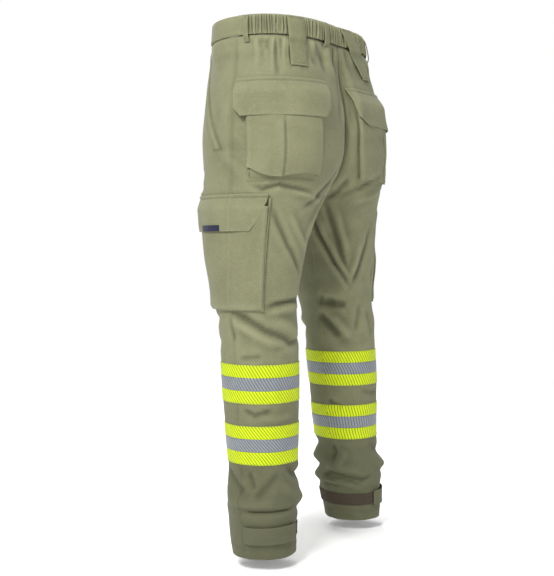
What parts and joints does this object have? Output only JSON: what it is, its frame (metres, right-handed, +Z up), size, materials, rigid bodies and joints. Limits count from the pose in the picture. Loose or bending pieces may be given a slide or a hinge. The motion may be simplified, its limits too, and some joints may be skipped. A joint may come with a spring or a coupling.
{
  "type": "fire crew work trousers",
  "caption": "Loose work trousers for fire crews, with elasticated back waist, flapped back and cargo pockets, reflective shin trim and hook-and-loop cuff tabs.",
  "frame": {"origin": "middle of the waist opening, in the plane of its top edge", "axes": "+Z up, the wearer faces -Y, the wearer's left leg is at +X"},
  "size_m": [0.4852, 0.325, 1.06],
  "materials": {
    "leg_cloth": "matte twill",
    "lime_trim": "fluorescent segmented tape",
    "silver_trim": "retroreflective segmented tape",
    "hook_and_loop": "hook and loop pile",
    "navy_tag": "woven tag, plain",
    "brass": "aged",
    "elastic": "woven elastic",
    "pocket_lining": "matte twill"
  },
  "bodies": {
    "trousers": {"left_front_panel": "leg_cloth", "right_front_panel": "leg_cloth", "left_back_panel": "leg_cloth", "right_back_panel": "leg_cloth", "left_front_waistband": "leg_cloth", "right_front_waistband": "leg_cloth", "rear_waistband": "leg_cloth", "rear_waistband_facing": "pocket_lining", "waist_elastic": "elastic", "narrow_belt_loops": "leg_cloth", "left_wide_belt_loop": "leg_cloth", "right_wide_belt_loop": "leg_cloth", "left_hand_pocket_bag": "pocket_lining", "right_hand_pocket_bag": "pocket_lining", "left_back_pocket": "leg_cloth", "right_back_pocket": "leg_cloth", "left_cargo_pocket": "leg_cloth", "right_cargo_pocket": "leg_cloth", "pocket_loop_tapes": "hook_and_loop", "fly_shield": "pocket_lining", "zip_tapes": "pocket_lining", "zip_teeth": "brass", "snap_socket": "brass", "left_knee_section": "leg_cloth", "right_knee_section": "leg_cloth"},
    "left_shin": {"left_shin_front": "leg_cloth", "left_shin_back": "leg_cloth", "left_upper_lime_trim": "lime_trim", "left_upper_silver_trim": "silver_trim", "left_lower_lime_trim": "lime_trim", "left_lower_silver_trim": "silver_trim", "left_cuff_loop_strip": "hook_and_loop"},
    "right_shin": {"right_shin_front": "leg_cloth", "right_shin_back": "leg_cloth", "right_upper_lime_trim": "lime_trim", "right_upper_silver_trim": "silver_trim", "right_lower_lime_trim": "lime_trim", "right_lower_silver_trim": "silver_trim", "right_cuff_loop_strip": "hook_and_loop"},
    "zip_slider": {"zip_slider": "brass"},
    "fly_cover": {"fly_cover": "leg_cloth"},
    "waist_tab": {"waist_tab": "leg_cloth", "snap_stud": "brass"},
    "left_back_flap": {"left_back_flap": "leg_cloth", "left_back_flap_hooks": "hook_and_loop"},
    "right_back_flap": {"right_back_flap": "leg_cloth", "right_back_flap_hooks": "hook_and_loop"},
    "left_cargo_flap": {"left_cargo_flap": "leg_cloth", "left_cargo_flap_hooks": "hook_and_loop", "label_tag": "navy_tag"},
    "right_cargo_flap": {"right_cargo_flap": "leg_cloth", "right_cargo_flap_hooks": "hook_and_loop"},
    "left_cuff_tab": {"left_cuff_tab": "leg_cloth", "left_cuff_hooks": "hook_and_loop"},
    "right_cuff_tab": {"right_cuff_tab": "leg_cloth", "right_cuff_hooks": "hook_and_loop"}
  },
  "joints": [
    {"name": "left_knee", "type": "hinge", "parent": "trousers", "child": "left_shin", "pos_m": [0.1545, 0.038, -0.635], "axis": [1, 0, 0], "range_deg": [0, 50], "deforming": ["left_knee_section"]},
    {"name": "right_knee", "type": "hinge", "parent": "trousers", "child": "right_shin", "pos_m": [-0.1545, 0.038, -0.635], "axis": [1, 0, 0], "range_deg": [0, 50], "deforming": ["right_knee_section"]},
    {"name": "zip_slide", "type": "slide", "parent": "trousers", "child": "zip_slider", "axis": [0, -0.0748, -0.9972], "range_m": [0, 0.116]},
    {"name": "fly_cover_hinge", "type": "hinge", "parent": "trousers", "child": "fly_cover", "pos_m": [0.0463, -0.1401, -0.115], "axis": [0, 0.0748, 0.9972], "range_deg": [0, 120]},
    {"name": "waist_tab_hinge", "type": "hinge", "parent": "trousers", "child": "waist_tab", "pos_m": [0.038, -0.1341, -0.02], "axis": [0, 0.0748, 0.9972], "range_deg": [0, 120]},
    {"name": "left_back_flap_hinge", "type": "hinge", "parent": "trousers", "child": "left_back_flap", "pos_m": [0.1862, 0.1245, -0.134], "axis": [0.7298, -0.6837, 0], "range_deg": [0, 120]},
    {"name": "left_cargo_flap_hinge", "type": "hinge", "parent": "trousers", "child": "left_cargo_flap", "pos_m": [0.2369, 0.0006, -0.362], "axis": [-0.1304, -0.9915, 0], "range_deg": [0, 110]},
    {"name": "left_cuff_tab_hinge", "type": "hinge", "parent": "left_shin", "child": "left_cuff_tab", "pos_m": [0.2383, 0.0607, -1.014], "axis": [0, 0, -1], "range_deg": [0, 110]},
    {"name": "right_back_flap_hinge", "type": "hinge", "parent": "trousers", "child": "right_back_flap", "pos_m": [-0.1229, 0.1568, -0.134], "axis": [0.974, 0.2265, 0], "range_deg": [0, 120]},
    {"name": "right_cargo_flap_hinge", "type": "hinge", "parent": "trousers", "child": "right_cargo_flap", "pos_m": [-0.2369, 0.0006, -0.362], "axis": [-0.1304, 0.9915, 0], "range_deg": [0, 110]},
    {"name": "right_cuff_tab_hinge", "type": "hinge", "parent": "right_shin", "child": "right_cuff_tab", "pos_m": [-0.2383, 0.0607, -1.014], "axis": [0, 0, 1], "range_deg": [0, 110]}
  ]
}
